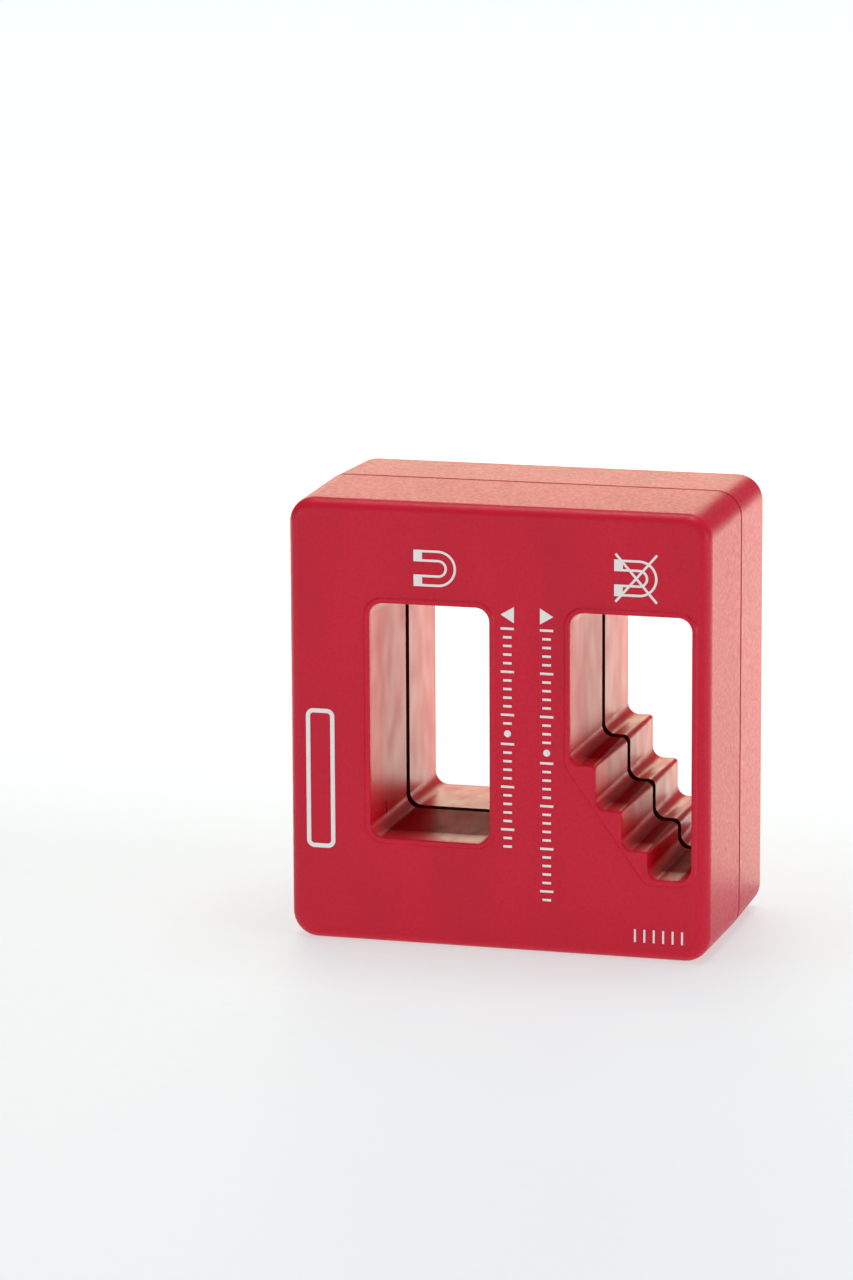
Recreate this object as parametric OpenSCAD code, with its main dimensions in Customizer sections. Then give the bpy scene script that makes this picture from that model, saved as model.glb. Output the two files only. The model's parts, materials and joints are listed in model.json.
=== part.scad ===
// Magnetiser and demagnetiser block for screwdriver tips.
// Two hollow half shells meet at a parting line and hold two bar magnets.
// A plain window and a stepped window run right through from front to back.
// Millimetres. Origin at the centre of the underside, +Z up, front face towards -Y.

/* [Block] */
// Width of the block at the parting line
block_w = 50; // [48:0.5:54]
// Depth of the block from front to back
block_d = 28; // [26:0.5:32]
// Height of the block
block_h = 52; // [50:0.5:56]
// Distance of the parting line behind the front
parting_depth = 15; // [13:0.5:17]
// Radius of the four long corners
corner_r = 3; // [2:0.1:4]
// Radius of the edge round the front face
front_edge_r = 1.4; // [0.8:0.1:1.8]
// Radius of the edge round the back face
back_edge_r = 0.9; // [0.4:0.1:1.6]
// Draft of the moulded walls, in degrees
draft = 1; // [0.5:0.1:1.5]
// Thickness of the outer walls
wall = 2; // [1.6:0.1:2.4]
// Width of the bevel on each shell along the parting line
seam_bevel = 0.3; // [0.1:0.05:0.4]

/* [Windows] */
// Width of each window
window_w = 14.15; // [13:0.05:14.5]
// Left side of the plain window
plain_x = -15.05; // [-15.5:0.05:-14.5]
// Left side of the stepped window
stepped_x = 8.55; // [8:0.05:9]
// Height of the tops of both windows
window_top = 40; // [38:0.5:42]
// Height of the plain window's sill
plain_sill = 12.5; // [11:0.5:14]
// Height of the floor below the last step
floor_z = 9.6; // [9:0.1:11]
// Distance from one riser to the next
step_run = 3.03; // [2.8:0.01:3.2]
// Rises of the steps, from the floor up
step_rises = [3.2, 4.5, 5.1];
// Radius of the windows' outer corners
window_r = 1.6; // [1:0.1:2]
// Radius where a tread meets a riser
root_r = 1.35; // [0.8:0.05:1.4]
// Rounding of the front and back edges of the windows
lip_r = 0.28; // [0.1:0.02:0.4]
// Thickness of the tunnel walls
tunnel_wall = 1.3; // [1:0.1:1.4]
// Gap between the two halves of each tunnel
tunnel_gap = 1.45; // [0.4:0.05:1.6]

/* [Raised pads] */
// Height of the pads above the front face
pad_h = 0.2; // [0.1:0.02:0.3]
// Width of the pads beyond the windows
pad_margin = 0.6; // [0.45:0.05:0.9]
// Width of the sloping edge of the pads
pad_slope = 0.2; // [0.1:0.02:0.3]

/* [Inside] */
// Thickness of each magnet
magnet_t = 6; // [5:0.1:6]
// Depth of each magnet, front to back
magnet_d = 22; // [18:0.5:22.5]
// Height of each magnet
magnet_h = 42; // [36:0.5:42]
// Diameter of the locating pins
pin_d = 3; // [2.5:0.1:3.2]
// Radial clearance between a pin and its socket
pin_clearance = 0.05; // [0.02:0.01:0.1]
// Depth of each pin in its socket
pin_reach = 5; // [3:0.5:6]

/* [Printed marks] */
// Thickness of the ink
ink_t = 0.05; // [0.04:0.01:0.08]
// Width of the thin ink lines
ink_line = 0.27; // [0.2:0.01:0.4]
// Height of the middle of the magnet symbols
symbol_z = 44.3; // [44:0.1:45]

/* [Hidden] */
$fn = 48;

red = [0.72, 0.14, 0.23];
ferrite = [0.17, 0.17, 0.18];
ink_white = [0.96, 0.95, 0.94];

arc_steps = 9;
lip_steps = 3;
edge_steps = 6;
overlap = 0.5;

pad_y = -block_d / 2;
face_y = pad_y + pad_h;
back_y = block_d / 2;
parting_y = pad_y + parting_depth;
cavity_front = face_y + wall;
cavity_back = back_y - wall;
cavity_half = block_w / 2 - wall;
gap_front = parting_y - tunnel_gap / 2;
gap_back = parting_y + tunnel_gap / 2;

// Nose radii of the steps at the front, at the parting and at the back
nose_front = 0.3;
nose_parting = 0.85;
nose_back = 0.45;

// Left side and top of each step, from the floor up
step_count = len(step_rises);
function riser_x(i) = stepped_x + (step_count - i) * step_run;
function tread_z(i) = i == 0 ? floor_z : tread_z(i - 1) + step_rises[i - 1];
function step_left(i) = i == step_count ? stepped_x : riser_x(i);

// Pad round the stepped window: drop below the sill, gap past the stair's ends, radius of its turns
pad_drop = 0.15;
pad_past_stair = 0.2;
pad_turn_r = 1.8;

// Magnet places
side_pocket = [-cavity_half, plain_x - tunnel_wall];
web_pocket = [plain_x + window_w + tunnel_wall, stepped_x - tunnel_wall];
function middle(span) = (span[0] + span[1]) / 2;
magnet_y = (cavity_front + cavity_back) / 2;
magnet_z = block_h / 2;
magnet_edge = 0.4;
rib_w = 1.2;
rib_clearance = 0.05;
stop_t = 1.4;

// Locating pins, as [x, z]
lower_lane = wall + 4.8;
upper_lane = block_h - wall - 4.2;
PINS = [[plain_x + 7, lower_lane], [stepped_x + 3.6, lower_lane], [plain_x + 7, upper_lane],
        [stepped_x + 7, upper_lane]];
boss_wall = 1.2;
tongue_t = 0.8;
tongue_w = window_w - 2;
tongue_reach = 1.5;
tongue_clearance = 0.1;
tongue_shift = 1;

// Points of a closed outline of [x, z, radius] corners, with every corner rounded to its radius
function unit(v) = v / norm(v);
function spin(v, a) = [v[0] * cos(a) - v[1] * sin(a), v[0] * sin(a) + v[1] * cos(a)];
function corner_arc(a, b, c, r) =
    let (to_a = unit(a - b),
         to_c = unit(c - b),
         half = acos(to_a * to_c) / 2,
         centre = b + unit(to_a + to_c) * r / sin(half),
         start = b + to_a * r / tan(half) - centre,
         turn = (180 - 2 * half) * sign(cross(to_c, to_a)))
    [for (i = [0 : arc_steps]) centre + spin(start, turn * i / arc_steps)];
function flat(p) = [p[0], p[1]];
function rounded(corners) =
    let (n = len(corners))
    [for (i = [0 : n - 1])
        each corner_arc(flat(corners[(i + n - 1) % n]), flat(corners[i]),
                        flat(corners[(i + 1) % n]), corners[i][2])];

// A solid through rounded outlines, each at its own y; stations run from front to back
module loft(outlines, stations) {
    n = len(outlines[0]);
    rows = len(outlines);
    points = [for (k = [0 : rows - 1]) for (p = outlines[k]) [p[0], stations[k], p[1]]];
    sides = [for (k = [0 : rows - 2]) for (i = [0 : n - 1])
        each [[k * n + i, k * n + (i + 1) % n, (k + 1) * n + (i + 1) % n],
              [k * n + i, (k + 1) * n + (i + 1) % n, (k + 1) * n + i]]];
    front_cap = [for (i = [n - 1 : -1 : 0]) i];
    back_cap = [for (i = [0 : n - 1]) (rows - 1) * n + i];
    polyhedron(points = points, faces = concat(sides, [front_cap, back_cap]), convexity = 8);
}

// A flat outline in the X-Z plane made into a plate between two depths
module plate(y0, y1) {
    translate([0, y1, 0])
        rotate([90, 0, 0])
            linear_extrude(y1 - y0)
                children();
}

// Inward shift of the outer walls, zero beside the bevel at the parting line
function wall_inset(y) = (abs(y - parting_y) - seam_bevel) * tan(draft);

// Outline of the block: sides and top come in by inset, the foot by foot_inset
function block_outline(inset, foot_inset, r) =
    let (x = block_w / 2 - inset)
    rounded([[-x, foot_inset, r], [x, foot_inset, r], [x, block_h - inset, r], [-x, block_h - inset, r]]);

// Outlines of the block with a round edge at y_end and a small bevel at the parting line
function edge_y(y_end, way, r, k) = y_end + way * r * (1 - cos(90 * k / edge_steps));
function edge_in(r, k) = r * (1 - sin(90 * k / edge_steps));
function half_stations(y_end, way, r) =
    concat([for (k = [0 : edge_steps]) edge_y(y_end, way, r, k)], [parting_y - way * seam_bevel, parting_y]);
function half_outlines(y_end, way, r) =
    concat([for (k = [0 : edge_steps])
               let (cut = edge_in(r, k))
               block_outline(wall_inset(edge_y(y_end, way, r, k)) + cut, cut, corner_r - cut)],
           [block_outline(wall_inset(parting_y + seam_bevel), 0, corner_r),
            block_outline(seam_bevel, seam_bevel, corner_r - seam_bevel)]);
function backwards(list) = [for (i = [len(list) - 1 : -1 : 0]) list[i]];

// Growth of the window openings, zero at the front face's draft line
function window_grow(y) = (abs(y - parting_y) - parting_depth) * tan(draft);
function nose_r(y) =
    y < parting_y
    ? nose_parting + (nose_front - nose_parting) * (parting_y - y) / parting_depth
    : nose_parting + (nose_back - nose_parting) * (y - parting_y) / (back_y - parting_y);

function plain_outline(grow) =
    let (left = plain_x - grow, right = plain_x + window_w + grow, r = window_r + max(grow, 0))
    rounded([[left, plain_sill - grow, r], [right, plain_sill - grow, r],
             [right, window_top + grow, r], [left, window_top + grow, r]]);

// Corners of the stair, from the floor up: root of each step, then its nose
function stair_corners(grow, root, nose) =
    [for (i = [0 : step_count])
        each concat([[step_left(i) - grow, tread_z(i) - grow, root]],
                    i == step_count ? [] : [[step_left(i) - grow, tread_z(i + 1) - grow, nose]])];
function stepped_outline(grow, nose) =
    let (right = stepped_x + window_w + grow,
         r = window_r + max(grow, 0),
         stair = stair_corners(grow, root_r, nose),
         up = len(stair) - 1)
    rounded(concat([[right, floor_z - grow, r], [right, window_top + grow, r],
                    [stepped_x - grow, window_top + grow, r]],
                   [for (i = [up : -1 : 0]) stair[i]]));

// Window tunnels, with a small round edge where they meet the front pad and the back face
function lip_y(k) = lip_r * (1 - cos(90 * k / lip_steps));
function lip_out(k) = lip_r * (1 - sin(90 * k / lip_steps));
TUNNEL_STATIONS = concat([pad_y - overlap], [for (k = [0 : lip_steps]) pad_y + lip_y(k)], [parting_y],
                         [for (k = [lip_steps : -1 : 0]) back_y - lip_y(k)], [back_y + overlap]);
TUNNEL_EXTRA = concat([lip_r], [for (k = [0 : lip_steps]) lip_out(k)], [0],
                      [for (k = [lip_steps : -1 : 0]) lip_out(k)], [lip_r]);
function tunnel_grow(k) = window_grow(TUNNEL_STATIONS[k]) + TUNNEL_EXTRA[k];

module plain_tunnel() {
    loft([for (k = [0 : len(TUNNEL_STATIONS) - 1]) plain_outline(tunnel_grow(k))], TUNNEL_STATIONS);
}

module stepped_tunnel() {
    loft([for (k = [0 : len(TUNNEL_STATIONS) - 1])
             stepped_outline(tunnel_grow(k), nose_r(TUNNEL_STATIONS[k]))],
         TUNNEL_STATIONS);
}

// Both tunnels with their walls, as squares in the X-Z plane
module tunnel_wall_shape() {
    translate([plain_x - tunnel_wall, plain_sill - tunnel_wall])
        square([window_w + 2 * tunnel_wall, window_top - plain_sill + 2 * tunnel_wall]);
    for (i = [0 : step_count])
        translate([step_left(i) - tunnel_wall, tread_z(i) - tunnel_wall])
            square([stepped_x + window_w - step_left(i) + 2 * tunnel_wall,
                    window_top - tread_z(i) + 2 * tunnel_wall]);
}

module cavity_shape() {
    difference() {
        translate([-cavity_half, wall])
            square([2 * cavity_half, block_h - 2 * wall]);
        tunnel_wall_shape();
    }
}

// Outline of the pad round the stepped window, which cuts straight past the steps
function stepped_pad(margin) =
    let (grow = margin - pad_margin,
         left = stepped_x - pad_margin,
         low = floor_z - pad_margin - pad_drop,
         shoulder_z = tread_z(step_count) - pad_past_stair,
         foot_x = riser_x(0) - pad_past_stair,
         lean = atan((foot_x - left) / (shoulder_z - low)),
         right = stepped_x + window_w + margin,
         top = window_top + margin,
         r = window_r + margin)
    rounded([[right, low - grow, r], [right, top, r], [left - grow, top, r],
             [left - grow, shoulder_z - grow * tan(lean / 2), pad_turn_r + grow],
             [foot_x - grow * tan(45 - lean / 2), low - grow, pad_turn_r + grow]]);

// Raised pads that frame the windows, with sloping edges
module pads() {
    stations = [pad_y, face_y, face_y + overlap];
    foot = pad_margin + pad_slope / 2;
    margins = [foot - pad_slope, foot, foot];
    loft([for (m = margins) plain_outline(m)], stations);
    loft([for (m = margins) stepped_pad(m)], stations);
}

// Ribs inside a shell that grip a magnet between y0 and y1
module magnet_ribs(pocket, y0, y1) {
    mid = middle(pocket);
    grip = magnet_t / 2 + rib_clearance;
    for (z = [magnet_z - magnet_h / 4, magnet_z + magnet_h / 4]) {
        plate(y0, y1)
            translate([pocket[0] - overlap, z])
                square([mid - grip - pocket[0] + overlap, rib_w]);
        plate(y0, y1)
            translate([mid + grip, z])
                square([pocket[1] + overlap - mid - grip, rib_w]);
    }
    plate(y0, y1)
        translate([pocket[0] - overlap, magnet_z - magnet_h / 2 - rib_clearance - stop_t])
            square([pocket[1] - pocket[0] + 2 * overlap, stop_t]);
    plate(y0, y1)
        translate([pocket[0] - overlap, magnet_z + magnet_h / 2 + rib_clearance])
            square([pocket[1] - pocket[0] + 2 * overlap, stop_t]);
}

// Small pads on a shell's end wall that the magnet stands against
module magnet_seat(pocket, y0, y1) {
    for (z = [magnet_z - magnet_h / 3, magnet_z + magnet_h / 3])
        plate(y0, y1)
            translate([middle(pocket) - magnet_t / 4, z - rib_w])
                square([magnet_t / 2, 2 * rib_w]);
}

module front_shell() {
    color(red)
        difference() {
            union() {
                difference() {
                    union() {
                        loft(half_outlines(face_y, 1, front_edge_r), half_stations(face_y, 1, front_edge_r));
                        pads();
                    }
                    plate(cavity_front, parting_y + overlap) cavity_shape();
                }
                for (pocket = [side_pocket, web_pocket]) {
                    magnet_ribs(pocket, cavity_front - overlap, parting_y - tunnel_gap);
                    magnet_seat(pocket, cavity_front - overlap, magnet_y - magnet_d / 2 - rib_clearance);
                }
                for (pin = PINS)
                    plate(cavity_front - overlap, parting_y - tunnel_gap)
                        translate(pin) circle(pin_d / 2 + pin_clearance + boss_wall);
            }
            plain_tunnel();
            stepped_tunnel();
            plate(gap_front, parting_y + overlap) tunnel_wall_shape();
            for (pin = PINS)
                plate(parting_y - pin_reach - overlap, parting_y + overlap)
                    translate(pin) circle(pin_d / 2 + pin_clearance);
        }
}

module rear_shell() {
    color(red)
        difference() {
            union() {
                difference() {
                    loft(backwards(half_outlines(back_y, -1, back_edge_r)),
                         backwards(half_stations(back_y, -1, back_edge_r)));
                    plate(parting_y - overlap, cavity_back) cavity_shape();
                }
                for (pocket = [side_pocket, web_pocket]) {
                    magnet_ribs(pocket, parting_y + tunnel_gap, cavity_back + overlap);
                    magnet_seat(pocket, magnet_y + magnet_d / 2 + rib_clearance, cavity_back + overlap);
                }
                for (pin = PINS) {
                    plate(parting_y - pin_reach, cavity_back + overlap)
                        translate(pin) circle(pin_d / 2);
                    plate(parting_y + tunnel_gap, cavity_back + overlap)
                        translate(pin) circle(pin_d / 2 + boss_wall);
                }
                tongues();
            }
            plain_tunnel();
            stepped_tunnel();
            plate(parting_y - overlap, gap_back) tunnel_wall_shape();
        }
}

// Tongues along the top and the foot of the rear shell that reach inside the front shell
module tongues() {
    for (side = [0, 1])
        translate([0, 0, side * block_h])
            mirror([0, 0, side])
                for (x = [plain_x, stepped_x + tongue_shift]) {
                    plate(parting_y - tongue_reach, parting_y + tongue_reach)
                        translate([x, wall + tongue_clearance])
                            square([tongue_w, tongue_t]);
                    plate(parting_y, parting_y + tongue_reach)
                        translate([x, wall - overlap])
                            square([tongue_w, tongue_t + overlap]);
                }
}

// A bar magnet with its long edges taken off
module magnet(pocket) {
    t = magnet_t / 2;
    d = magnet_d / 2;
    e = magnet_edge;
    color(ferrite)
        translate([middle(pocket), magnet_y, magnet_z - magnet_h / 2])
            linear_extrude(magnet_h)
                polygon([[-t + e, -d], [t - e, -d], [t, -d + e], [t, d - e], [t - e, d],
                         [-t + e, d], [-t, d - e], [-t, -d + e]]);
}

module side_magnet() {
    magnet(side_pocket);
}

module web_magnet() {
    magnet(web_pocket);
}

// Ink lies on the front face
module ink() {
    color(ink_white)
        plate(face_y - ink_t, face_y)
            children();
}

// Horseshoe with its mouth to the left and solid pole tips, centred on x
horseshoe_r = 2.1;
horseshoe_slot = 0.76;
horseshoe_leg = 2.9;
tip_w = 1;
module horseshoe(x) {
    translate([x, symbol_z]) {
        difference() {
            horseshoe_body(horseshoe_r, horseshoe_slot, 0);
            horseshoe_body(horseshoe_r - ink_line, horseshoe_slot + ink_line, ink_line);
        }
        for (side = [0, 1])
            mirror([0, side])
                translate([-horseshoe_leg, horseshoe_slot])
                    square([tip_w, horseshoe_r - horseshoe_slot]);
    }
}

module horseshoe_body(outer, inner, short) {
    difference() {
        union() {
            circle(outer);
            translate([-horseshoe_leg + short, -outer])
                square([horseshoe_leg - short, 2 * outer]);
        }
        circle(inner);
        translate([-horseshoe_leg - overlap, -inner])
            square([horseshoe_leg + overlap, 2 * inner]);
    }
}

// A straight ink line between two points
module stroke(a, b) {
    run = b - a;
    translate(a)
        rotate(atan2(run[1], run[0]))
            translate([0, -ink_line / 2])
                square([norm(run), ink_line]);
}

magnetise_x = -6.85;
demagnetise_x = 16.6;
cross_half_w = 2.4;
cross_half_h = 2.75;
cross_shift = 0.35;
cross_x = demagnetise_x - cross_shift;

module magnetise_symbol() {
    ink() horseshoe(magnetise_x);
}

module demagnetise_symbol() {
    ink() {
        horseshoe(demagnetise_x);
        for (side = [-1, 1])
            stroke([cross_x - cross_half_w, symbol_z - side * cross_half_h],
                   [cross_x + cross_half_w, symbol_z + side * cross_half_h]);
    }
}

// Columns of the printed marks on the web, one per window
left_column = 1.25;
right_column = 5.85;
arrow_z = 39.4;
arrow_w = 1.55;
arrow_h = 1.85;

module direction_arrows() {
    ink()
        for (tip = [[left_column, -1], [right_column, 1]])
            polygon([[tip[0] + tip[1] * arrow_w / 2, arrow_z],
                     [tip[0] - tip[1] * arrow_w / 2, arrow_z + arrow_h / 2],
                     [tip[0] - tip[1] * arrow_w / 2, arrow_z - arrow_h / 2]]);
}

// Plain scales of level ticks, in two runs with a round dot between them
tick_pitch = 1;
tick_w = 1;
long_tick_w = 1.55;
dot_r = 0.4;
scale_top = 37.8;
module tick(x, z, w) {
    translate([x - w / 2, z - ink_line / 2])
        square([w, ink_line]);
}

module scale_run(x, top, count) {
    for (i = [0 : count - 1])
        tick(x, top - i * tick_pitch, i % 5 == 0 ? long_tick_w : tick_w);
}

module guide_scale(x, above, below) {
    dot_z = scale_top - above * tick_pitch - dot_r / 2;
    scale_run(x, scale_top, above);
    translate([x, dot_z])
        circle(dot_r);
    scale_run(x, dot_z - dot_r / 2 - tick_pitch, below);
}

module guide_scales() {
    ink() {
        guide_scale(left_column, 12, 13);
        guide_scale(right_column, 14, 17);
    }
}

// A blank panel outlined in the outer column
panel_w = 3.4;
panel_h = 16.4;
panel_top = 27.3;
panel_x = -22.7;
panel_line = 0.5;
panel_r = 0.9;
module round_panel(inset) {
    r = panel_r - inset;
    translate([panel_x + inset, panel_top - panel_h + inset + r])
        square([panel_w - 2 * inset, panel_h - 2 * inset - 2 * r]);
    translate([panel_x + inset + r, panel_top - panel_h + inset])
        square([panel_w - 2 * inset - 2 * r, panel_h - 2 * inset]);
    for (x = [panel_x + inset + r, panel_x + panel_w - inset - r])
        for (z = [panel_top - inset - r, panel_top - panel_h + inset + r])
            translate([x, z])
                circle(r);
}

module name_panel() {
    ink()
        difference() {
            round_panel(0);
            round_panel(panel_line);
        }
}

// A short row of upright ticks at the lower right
code_left = 16.1;
code_z = 2.9;
code_h = 1.5;
code_pitch = 1.1;
code_line = 0.22;
module code_ticks() {
    ink()
        for (i = [0 : 5])
            translate([code_left + i * code_pitch, code_z - code_h / 2])
                square([code_line, code_h]);
}

front_shell();
rear_shell();
side_magnet();
web_magnet();
magnetise_symbol();
demagnetise_symbol();
direction_arrows();
guide_scales();
name_panel();
code_ticks();
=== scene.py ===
"""Looks for the magnetiser block: camera, studio lights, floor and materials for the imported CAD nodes."""
import json
import math

import bpy
from mathutils import Matrix, Vector


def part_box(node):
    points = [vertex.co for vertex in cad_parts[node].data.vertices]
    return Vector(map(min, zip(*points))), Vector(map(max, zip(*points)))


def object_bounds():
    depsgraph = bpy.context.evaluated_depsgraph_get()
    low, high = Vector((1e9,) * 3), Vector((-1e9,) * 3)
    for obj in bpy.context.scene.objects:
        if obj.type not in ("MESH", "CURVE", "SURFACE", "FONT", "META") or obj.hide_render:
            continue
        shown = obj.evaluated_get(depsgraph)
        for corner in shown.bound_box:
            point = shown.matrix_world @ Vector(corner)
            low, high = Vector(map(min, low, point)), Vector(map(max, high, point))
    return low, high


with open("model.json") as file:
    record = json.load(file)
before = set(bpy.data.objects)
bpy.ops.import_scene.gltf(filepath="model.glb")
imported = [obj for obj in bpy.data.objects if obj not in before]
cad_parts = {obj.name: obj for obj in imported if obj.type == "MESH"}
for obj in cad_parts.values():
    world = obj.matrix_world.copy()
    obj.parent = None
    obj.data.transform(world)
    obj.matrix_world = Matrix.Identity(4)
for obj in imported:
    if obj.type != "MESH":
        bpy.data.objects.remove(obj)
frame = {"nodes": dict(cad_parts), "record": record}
CAD_LOW, CAD_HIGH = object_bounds()

MM = 0.001

# Camera: turned to the right of the front, looking slightly down, with a long lens
VIEW_AZIMUTH = 15.88
VIEW_ELEVATION = 11.84
VIEW_ROLL = -0.30
CAMERA_DISTANCE = 642.3 * MM
AIM_LEFT = 11.77 * MM
AIM_UP = 7.45 * MM
LENS = 155.65
SENSOR = 36.0

# Colours, linear
RED = (0.70, 0.004, 0.034, 1.0)
RED_DEEP = (0.52, 0.002, 0.024, 1.0)
# A lighter red for inside the windows: painted light
WINDOW_RED_PAINTED_LIGHT = (0.74, 0.006, 0.024, 1.0)
# A dark red for the front treads: painted shade
TREAD_PAINTED_SHADE = (0.23, 0.002, 0.008, 1.0)
INK = (0.90, 0.89, 0.87, 1.0)
INK_THIN = (0.80, 0.74, 0.73, 1.0)
FERRITE = (0.045, 0.045, 0.050, 1.0)
FERRITE_WORN = (0.085, 0.083, 0.085, 1.0)
FLOOR = (0.40, 0.42, 0.43, 1.0)
FLOOR_GLOW = (0.95, 0.99, 1.0, 1.0)

# Surface of the plastic: sizes of its grain, pores, flow marks, the patches of painted shade on the treads
# and drag streaks
GRAIN = 0.16 * MM
PORES = 0.42 * MM
FLOW = 9 * MM
TREAD_SHADE_PATCHES = 2.2 * MM
STREAKS = 0.9 * MM
GRAIN_DEPTH = 0.009 * MM
PORE_DEPTH = 0.006 * MM
INK_GRAIN_DEPTH = 0.006 * MM
PLASTIC_IOR = 1.37

# Surface of the magnets
PITS = 0.3 * MM
PIT_DEPTH = 0.02 * MM
DUST = 4 * MM

# The studio, in metres: strength of the surroundings at the horizon and overhead, size of the floor,
# its glow in front of the block and behind it, and where the glow starts and stops rising
HORIZON_STRENGTH = 0.22
OVERHEAD_STRENGTH = 0.45
FLOOR_HALF = 2.5
GLOW_FRONT = 0.53
GLOW_BACK = 0.84
GLOW_START = 0.02
GLOW_END = 0.22
CLOTH = 2.0 * MM
CLOTH_DEPTH = 0.01 * MM

# Soft lights: name, place, aim, size, power and colour
WHITE = (1.0, 1.0, 1.0)
WARM = (1.0, 0.97, 0.70)
LIGHTS = [
    ("light_table", (0.0, 0.32, 0.001), (0.0, 0.32, 1.0), (0.60, 0.60), 1.45, WARM),
    ("back_left_softbox", (-0.20, 0.62, 0.21), (0, 0, 0.05), (0.40, 0.24), 0.80, WARM),
    ("overhead_softbox", (0.0, 0.10, 0.80), (0, 0, 0), (0.5, 0.4), 3.0, WHITE),
    ("front_softbox", (-0.10, -1.00, 0.22), (0, 0, 0.03), (0.9, 0.4), 1.1, WHITE),
    ("left_softbox", (-0.75, -0.70, 0.12), (0, 0, 0.03), (0.5, 0.3), 1.3, WHITE),
    ("right_softbox", (0.85, -0.25, 0.14), (0, 0, 0.02), (0.4, 0.3), 1.5, WHITE),
]

# Names the record's openings start with, one per window, and how far past them the walls may lie
WINDOWS = ("magnetising", "demagnetising")
WINDOW_MARGIN = 1.3 * MM

# Distances inward from the front and back, where the polish on the window walls and their lighter red,
# which is painted light, start and are full
POLISH_AND_PAINTED_LIGHT_START = 0.3 * MM
POLISH_AND_PAINTED_LIGHT_FULL = 1.0 * MM

# Distances behind the front, where the painted shade on each tread starts and is full, and how level
# a face must be
TREAD_SHADE_START = 0.8 * MM
TREAD_SHADE_FULL = 4.0 * MM
LEVEL_START = 0.45
LEVEL_FULL = 0.95

# Shading of the shells: reach of the weld, and the angle in degrees above which an edge is sharp
WELD_REACH = 1e-6
SHARP_ANGLE = 28

# The seam between the two halves: its place, its gap inside the windows and its bevel outside, both
# darkened with painted shade
SEAM_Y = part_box("front_shell")[1].y
MIDDLE_Z = (CAD_LOW.z + CAD_HIGH.z) / 2
SEAM_INSET = 1.5 * MM
GAP_HALF = 0.74 * MM
BEVEL = 0.28 * MM
OUTER_SEAM_SHADE = 0.25
# Near black in the seam gap and partly on the outer bevel: painted shade
SEAM_PAINTED_SHADE = (0.060, 0.003, 0.005, 1.0)


# Camera, floor and light

def make_camera():
    """The camera looks at a point beside the block, so that the block stands right of the middle."""
    turn = (Matrix.Rotation(math.radians(VIEW_AZIMUTH), 4, "Z")
            @ Matrix.Rotation(math.radians(90 - VIEW_ELEVATION), 4, "X")
            @ Matrix.Rotation(math.radians(VIEW_ROLL), 4, "Z"))
    middle = (CAD_LOW + CAD_HIGH) / 2
    place = middle + turn.to_3x3() @ Vector((-AIM_LEFT, AIM_UP, CAMERA_DISTANCE))
    data = bpy.data.cameras.new("camera")
    data.lens = LENS
    data.sensor_width = SENSOR
    data.clip_start = 0.01
    camera = bpy.data.objects.new("camera", data)
    camera.matrix_world = Matrix.Translation(place) @ turn
    bpy.context.scene.collection.objects.link(camera)
    bpy.context.scene.camera = camera


def area_light(name, place, aim, size, power, colour):
    """A soft rectangular light that points from place to aim."""
    data = bpy.data.lights.new(name, "AREA")
    data.shape = "RECTANGLE"
    data.size, data.size_y = size
    data.energy = power
    data.color = colour
    light = bpy.data.objects.new(name, data)
    light.location = place
    light.rotation_euler = (Vector(aim) - Vector(place)).to_track_quat("-Z", "Y").to_euler()
    light.visible_camera = False
    bpy.context.scene.collection.objects.link(light)


def set_view():
    """A plain view transform, so that white stays white and the red stays deep."""
    bpy.context.scene.view_settings.view_transform = "Standard"


def make_world():
    """Even studio surroundings, a little brighter overhead."""
    world = bpy.data.worlds.new("studio")
    bpy.context.scene.world = world
    world.use_nodes = True
    nodes, links = world.node_tree.nodes, world.node_tree.links
    nodes.clear()
    out = nodes.new("ShaderNodeOutputWorld")
    background = nodes.new("ShaderNodeBackground")
    direction = nodes.new("ShaderNodeTexCoord")
    split = nodes.new("ShaderNodeSeparateXYZ")
    ramp = nodes.new("ShaderNodeMapRange")
    ramp.interpolation_type = "SMOOTHSTEP"
    ramp.inputs["To Min"].default_value = HORIZON_STRENGTH
    ramp.inputs["To Max"].default_value = OVERHEAD_STRENGTH
    links.new(direction.outputs["Generated"], split.inputs[0])
    links.new(split.outputs["Z"], ramp.inputs["Value"])
    links.new(ramp.outputs["Result"], background.inputs["Strength"])
    links.new(background.outputs[0], out.inputs[0])


def make_floor():
    """A wide pale light table, brighter behind the block, with a faintly uneven finish."""
    half = FLOOR_HALF
    mesh = bpy.data.meshes.new("floor")
    corners = [(-half, -half, 0), (half, -half, 0), (half, half, 0), (-half, half, 0)]
    mesh.from_pydata(corners, [], [(0, 1, 2, 3)])
    floor = bpy.data.objects.new("floor", mesh)
    bpy.context.scene.collection.objects.link(floor)
    floor.location.z = CAD_LOW.z
    mesh.materials.append(pale_floor())


# Materials

def new_material(name):
    """A material with a plain Principled shader."""
    material = bpy.data.materials.new(name)
    material.use_nodes = True
    return material


def window_box(name):
    """Left, right, bottom and top of a window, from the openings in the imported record."""
    boxes = [opening["box_m"] for opening in frame["record"]["physics"]["openings"]
             if opening["name"].startswith(name)]
    left, low = (min(box[0][axis] for box in boxes) - WINDOW_MARGIN for axis in (0, 2))
    right, high = (max(box[1][axis] for box in boxes) + WINDOW_MARGIN for axis in (0, 2))
    return left, right, low, high


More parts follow.
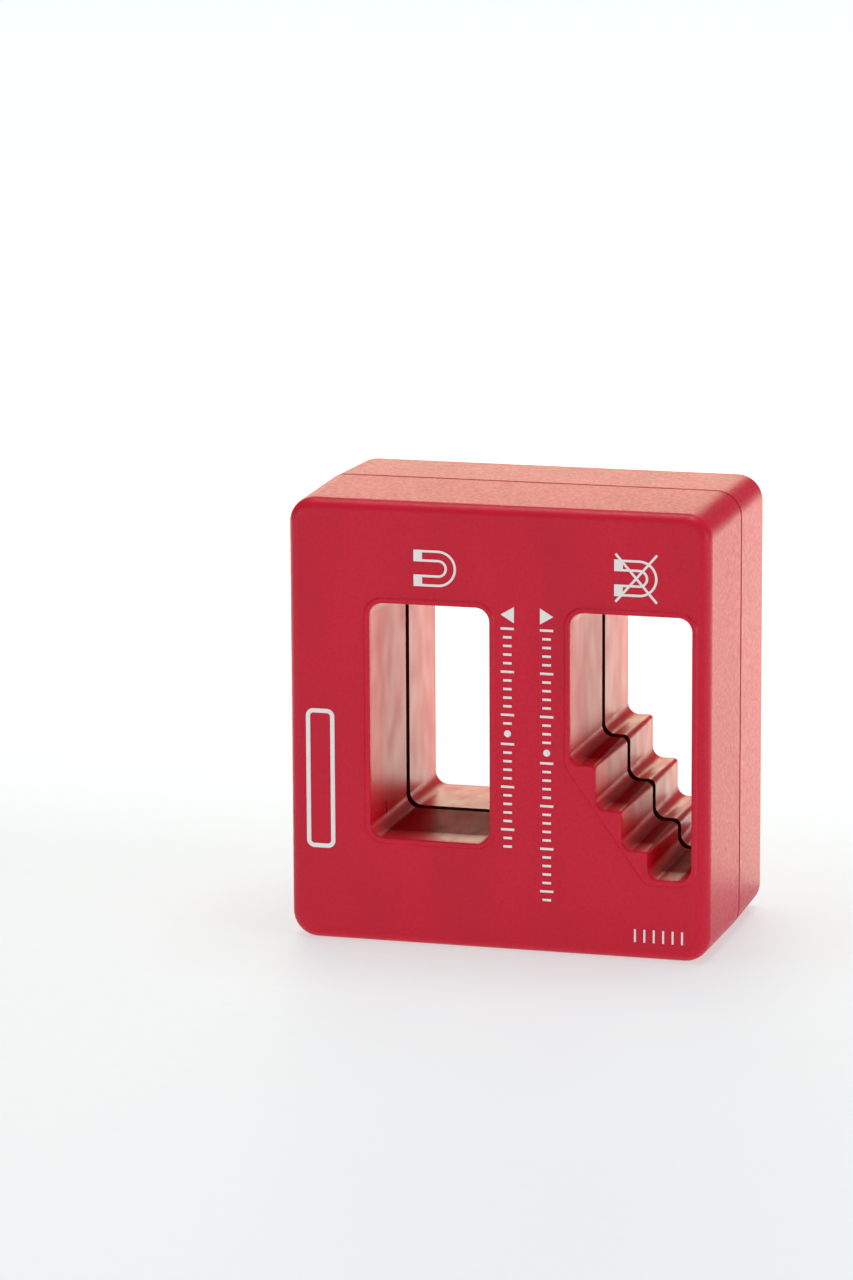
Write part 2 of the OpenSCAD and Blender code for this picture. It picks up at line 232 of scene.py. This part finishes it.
class Nodes:
    """Short calls for building a material's nodes."""

    def __init__(self, material):
        self.tree = material.node_tree
        self.shader = self.tree.nodes["Principled BSDF"]
        self.place = self.tree.nodes.new("ShaderNodeTexCoord").outputs["Object"]

    def new(self, kind, **values):
        """A node of one kind, with its settings."""
        node = self.tree.nodes.new(kind)
        for key, value in values.items():
            setattr(node, key, value)
        return node

    def link(self, a, b):
        """Joins an output to an input."""
        self.tree.links.new(a, b)

    def noise(self, size, detail=2.0, roughness=0.5, stretch=(1, 1, 1)):
        """Noise with features of about size metres, stretched by a factor along each axis."""
        mapping = self.new("ShaderNodeMapping")
        mapping.inputs["Scale"].default_value = [1 / (size * s) for s in stretch]
        self.link(self.place, mapping.inputs["Vector"])
        noise = self.new("ShaderNodeTexNoise")
        noise.inputs["Scale"].default_value = 1.0
        noise.inputs["Detail"].default_value = detail
        noise.inputs["Roughness"].default_value = roughness
        self.link(mapping.outputs[0], noise.inputs["Vector"])
        return noise.outputs["Fac"]

    def spread(self, value, low, high, start=0.0, end=1.0):
        """Maps start..end of a value to low..high."""
        node = self.new("ShaderNodeMapRange")
        for name, number in (("From Min", start), ("From Max", end), ("To Min", low), ("To Max", high)):
            node.inputs[name].default_value = number
        self.link(value, node.inputs["Value"])
        return node.outputs["Result"]

    def mix(self, factor, a, b):
        """A colour between a and b."""
        node = self.new("ShaderNodeMix", data_type="RGBA")
        self.link(factor, node.inputs["Factor"])
        for socket, colour in ((node.inputs[6], a), (node.inputs[7], b)):
            if isinstance(colour, tuple):
                socket.default_value = colour
            else:
                self.link(colour, socket)
        return node.outputs[2]

    def split(self, vector):
        """The X, Y and Z of a vector."""
        node = self.new("ShaderNodeSeparateXYZ")
        self.link(vector, node.inputs[0])
        return node.outputs["X"], node.outputs["Y"], node.outputs["Z"]

    def maths(self, operation, a, b=0.0):
        """One operation on two numbers, each a value or an output."""
        node = self.new("ShaderNodeMath", operation=operation)
        for socket, value in zip(node.inputs, (a, b)):
            if isinstance(value, (int, float)):
                socket.default_value = value
            else:
                self.link(value, socket)
        return node.outputs[0]

    def product(self, a, b):
        """Two numbers multiplied."""
        return self.maths("MULTIPLY", a, b)

    def between(self, value, low, high):
        """One where a value lies between two limits and nought elsewhere."""
        return self.product(self.maths("GREATER_THAN", value, low), self.maths("LESS_THAN", value, high))

    def off(self, value, centre):
        """Distance of a value from a centre."""
        return self.maths("ABSOLUTE", self.maths("SUBTRACT", value, centre))

    def blend(self, factor, a, b):
        """A number between a and b."""
        node = self.new("ShaderNodeMix")
        self.link(factor, node.inputs[0])
        self.link(a, node.inputs[2])
        self.link(b, node.inputs[3])
        return node.outputs[0]

    def in_windows(self):
        """One inside the two windows and nought elsewhere, fading out at the front and back faces."""
        across, along, up = self.split(self.place)
        inside = None
        for left, right, low, high in (window_box(name) for name in WINDOWS):
            part = self.product(self.between(across, left, right), self.between(up, low, high))
            inside = part if inside is None else self.maths("MAXIMUM", inside, part)
        depth = self.maths("ABSOLUTE", along)
        face = CAD_HIGH.y
        return self.product(inside, self.spread(depth, 1.0, 0.0, face - POLISH_AND_PAINTED_LIGHT_FULL, face - POLISH_AND_PAINTED_LIGHT_START))

    def on_front_treads(self):
        """One on the upward faces inside the front half of the windows, fading towards the front."""
        along = self.split(self.place)[1]
        facing_up = self.split(self.new("ShaderNodeNewGeometry").outputs["Normal"])[2]
        level = self.spread(facing_up, 0.0, 1.0, LEVEL_START, LEVEL_FULL)
        deep = self.spread(along, 0.0, 1.0, CAD_LOW.y + TREAD_SHADE_START, CAD_LOW.y + TREAD_SHADE_FULL)
        front_half = self.product(deep, self.maths("LESS_THAN", along, SEAM_Y))
        return self.product(self.in_windows(), self.product(level, front_half))

    def in_seam(self):
        """One in the gap inside the windows, a part on the outer seam and nought elsewhere."""
        across, along, up = self.split(self.place)
        off_seam = self.off(along, SEAM_Y)
        off_middle = self.maths("ABSOLUTE", across)
        within = self.product(self.maths("LESS_THAN", off_middle, CAD_HIGH.x - SEAM_INSET),
                              self.maths("LESS_THAN", self.off(up, MIDDLE_Z), MIDDLE_Z - SEAM_INSET))
        inner = self.product(within, self.maths("LESS_THAN", off_seam, GAP_HALF))
        outer = self.product(self.maths("LESS_THAN", off_seam, BEVEL), OUTER_SEAM_SHADE)
        return self.maths("MAXIMUM", inner, outer)

    def bump(self, height, distance, under=None):
        """A normal from a height, on top of another bump if one is given."""
        node = self.new("ShaderNodeBump")
        node.inputs["Distance"].default_value = distance
        node.inputs["Strength"].default_value = 1.0
        self.link(height, node.inputs["Height"])
        if under is not None:
            self.link(under, node.inputs["Normal"])
        return node.outputs["Normal"]


def plastic_colour(n, grain, pores, outside, tread_shade):
    """Crimson with flow marks and grain, a lighter red in the windows that is painted light, and painted
    shade on the front treads and in the seam.
    """
    flow = n.noise(FLOW, detail=2.0, stretch=(1, 1, 2.5))
    tread_shade_patches = n.noise(TREAD_SHADE_PATCHES, detail=3.0, stretch=(1, 2.5, 1))
    colour = n.mix(n.spread(flow, 0.6, 1.0, 0.35, 0.65), RED_DEEP, RED)
    colour = n.mix(n.spread(grain, 0.0, 0.5, 0.45, 0.75), colour, RED_DEEP)
    colour = n.mix(n.spread(pores, 0.0, 0.35, 0.4, 0.7), colour, RED_DEEP)
    # Lighter red inside the windows: painted light
    colour = n.mix(outside, WINDOW_RED_PAINTED_LIGHT, colour)
    # Painted shade on the front treads, made patchy by noise
    colour = n.mix(n.product(tread_shade, n.spread(tread_shade_patches, 0.8, 1.0, 0.3, 0.7)), colour, TREAD_PAINTED_SHADE)
    # Painted shade in the seam gap and on the outer seam bevel
    return n.mix(n.in_seam(), colour, SEAM_PAINTED_SHADE)


def moulded_plastic():
    """Crimson ABS with a fine spark-eroded grain outside and smoother, streaked window walls."""
    material = new_material("moulded_red_plastic")
    n = Nodes(material)
    grain = n.noise(GRAIN, detail=3.0, roughness=0.6)
    pores = n.noise(PORES, detail=1.0)
    streaks = n.noise(STREAKS, detail=0.0, stretch=(1, 2.5, 4))
    outside = n.spread(n.in_windows(), 1.0, 0.0)
    tread_shade = n.on_front_treads()
    n.link(plastic_colour(n, grain, pores, outside, tread_shade), n.shader.inputs["Base Color"])
    smooth = n.spread(streaks, 0.27, 0.41, 0.1, 0.9)
    rough = n.spread(pores, 0.34, 0.46, 0.3, 0.7)
    n.link(n.blend(outside, smooth, rough), n.shader.inputs["Roughness"])
    # Reflection cut on the front treads along with their painted shade
    n.link(n.spread(tread_shade, 0.5, 0.01), n.shader.inputs["Specular IOR Level"])
    coarse = n.bump(n.product(pores, n.spread(outside, 0.3, 1.0)), PORE_DEPTH)
    fine = n.product(grain, n.spread(outside, 0.25, 1.0))
    n.link(n.bump(fine, GRAIN_DEPTH, under=coarse), n.shader.inputs["Normal"])
    n.shader.inputs["IOR"].default_value = PLASTIC_IOR
    return material


def printed_ink():
    """White pad-printed ink with thin spots, on the plastic's grain."""
    material = new_material("white_print_ink")
    n = Nodes(material)
    grain = n.noise(GRAIN, detail=3.0, roughness=0.6)
    n.link(n.mix(n.spread(grain, 0.0, 1.0, 0.58, 0.78), INK, INK_THIN), n.shader.inputs["Base Color"])
    n.link(n.spread(grain, 0.35, 0.5), n.shader.inputs["Roughness"])
    n.link(n.bump(grain, INK_GRAIN_DEPTH), n.shader.inputs["Normal"])
    return material


def hard_ferrite():
    """Dark sintered ferrite with a dusty, slightly pitted face."""
    material = new_material("hard_ferrite")
    n = Nodes(material)
    pits = n.noise(PITS, detail=4.0, roughness=0.65)
    dust = n.noise(DUST, detail=3.0)
    n.link(n.mix(n.spread(dust, 0.0, 1.0, 0.4, 0.7), FERRITE, FERRITE_WORN), n.shader.inputs["Base Color"])
    n.link(n.spread(pits, 0.5, 0.8), n.shader.inputs["Roughness"])
    n.link(n.bump(pits, PIT_DEPTH), n.shader.inputs["Normal"])
    return material


def pale_floor():
    """A pale, faintly uneven surface that glows from below, more so behind the block."""
    material = new_material("pale_floor")
    n = Nodes(material)
    along = n.split(n.place)[1]
    cloth = n.noise(CLOTH, detail=4.0)
    glow = n.spread(along, GLOW_FRONT, GLOW_BACK, GLOW_START, GLOW_END)
    n.shader.inputs["Base Color"].default_value = FLOOR
    n.shader.inputs["Emission Color"].default_value = FLOOR_GLOW
    n.link(glow, n.shader.inputs["Emission Strength"])
    n.link(n.spread(cloth, 0.58, 0.72), n.shader.inputs["Roughness"])
    n.link(n.bump(cloth, CLOTH_DEPTH), n.shader.inputs["Normal"])
    return material


# Pieces

def dress(obj, material):
    """Gives a piece one material in every slot."""
    obj.data.materials.clear()
    obj.data.materials.append(material)


def smooth_edges(obj):
    """Joins the CAD faces and shades the round ones smooth, with the flat faces kept flat."""
    obj.modifiers.new("weld", "WELD").merge_threshold = WELD_REACH
    for face in obj.data.polygons:
        face.use_smooth = True
    split = obj.modifiers.new("split", "EDGE_SPLIT")
    split.split_angle = math.radians(SHARP_ANGLE)
    weigh = obj.modifiers.new("weighted", "WEIGHTED_NORMAL")
    weigh.keep_sharp = True
    weigh.weight = 100


def dress_nodes():
    """Plastic on the shells, ferrite on the magnets and ink on the prints."""
    plastic = moulded_plastic()
    ink = printed_ink()
    ferrite = hard_ferrite()
    for name, node in frame["nodes"].items():
        if name.endswith("shell"):
            dress(node, plastic)
            smooth_edges(node)
        elif name.endswith("magnet"):
            dress(node, ferrite)
        else:
            dress(node, ink)


def main():
    """The whole scene."""
    set_view()
    make_camera()
    make_world()
    make_floor()
    for light in LIGHTS:
        area_light(*light)
    dress_nodes()


main()
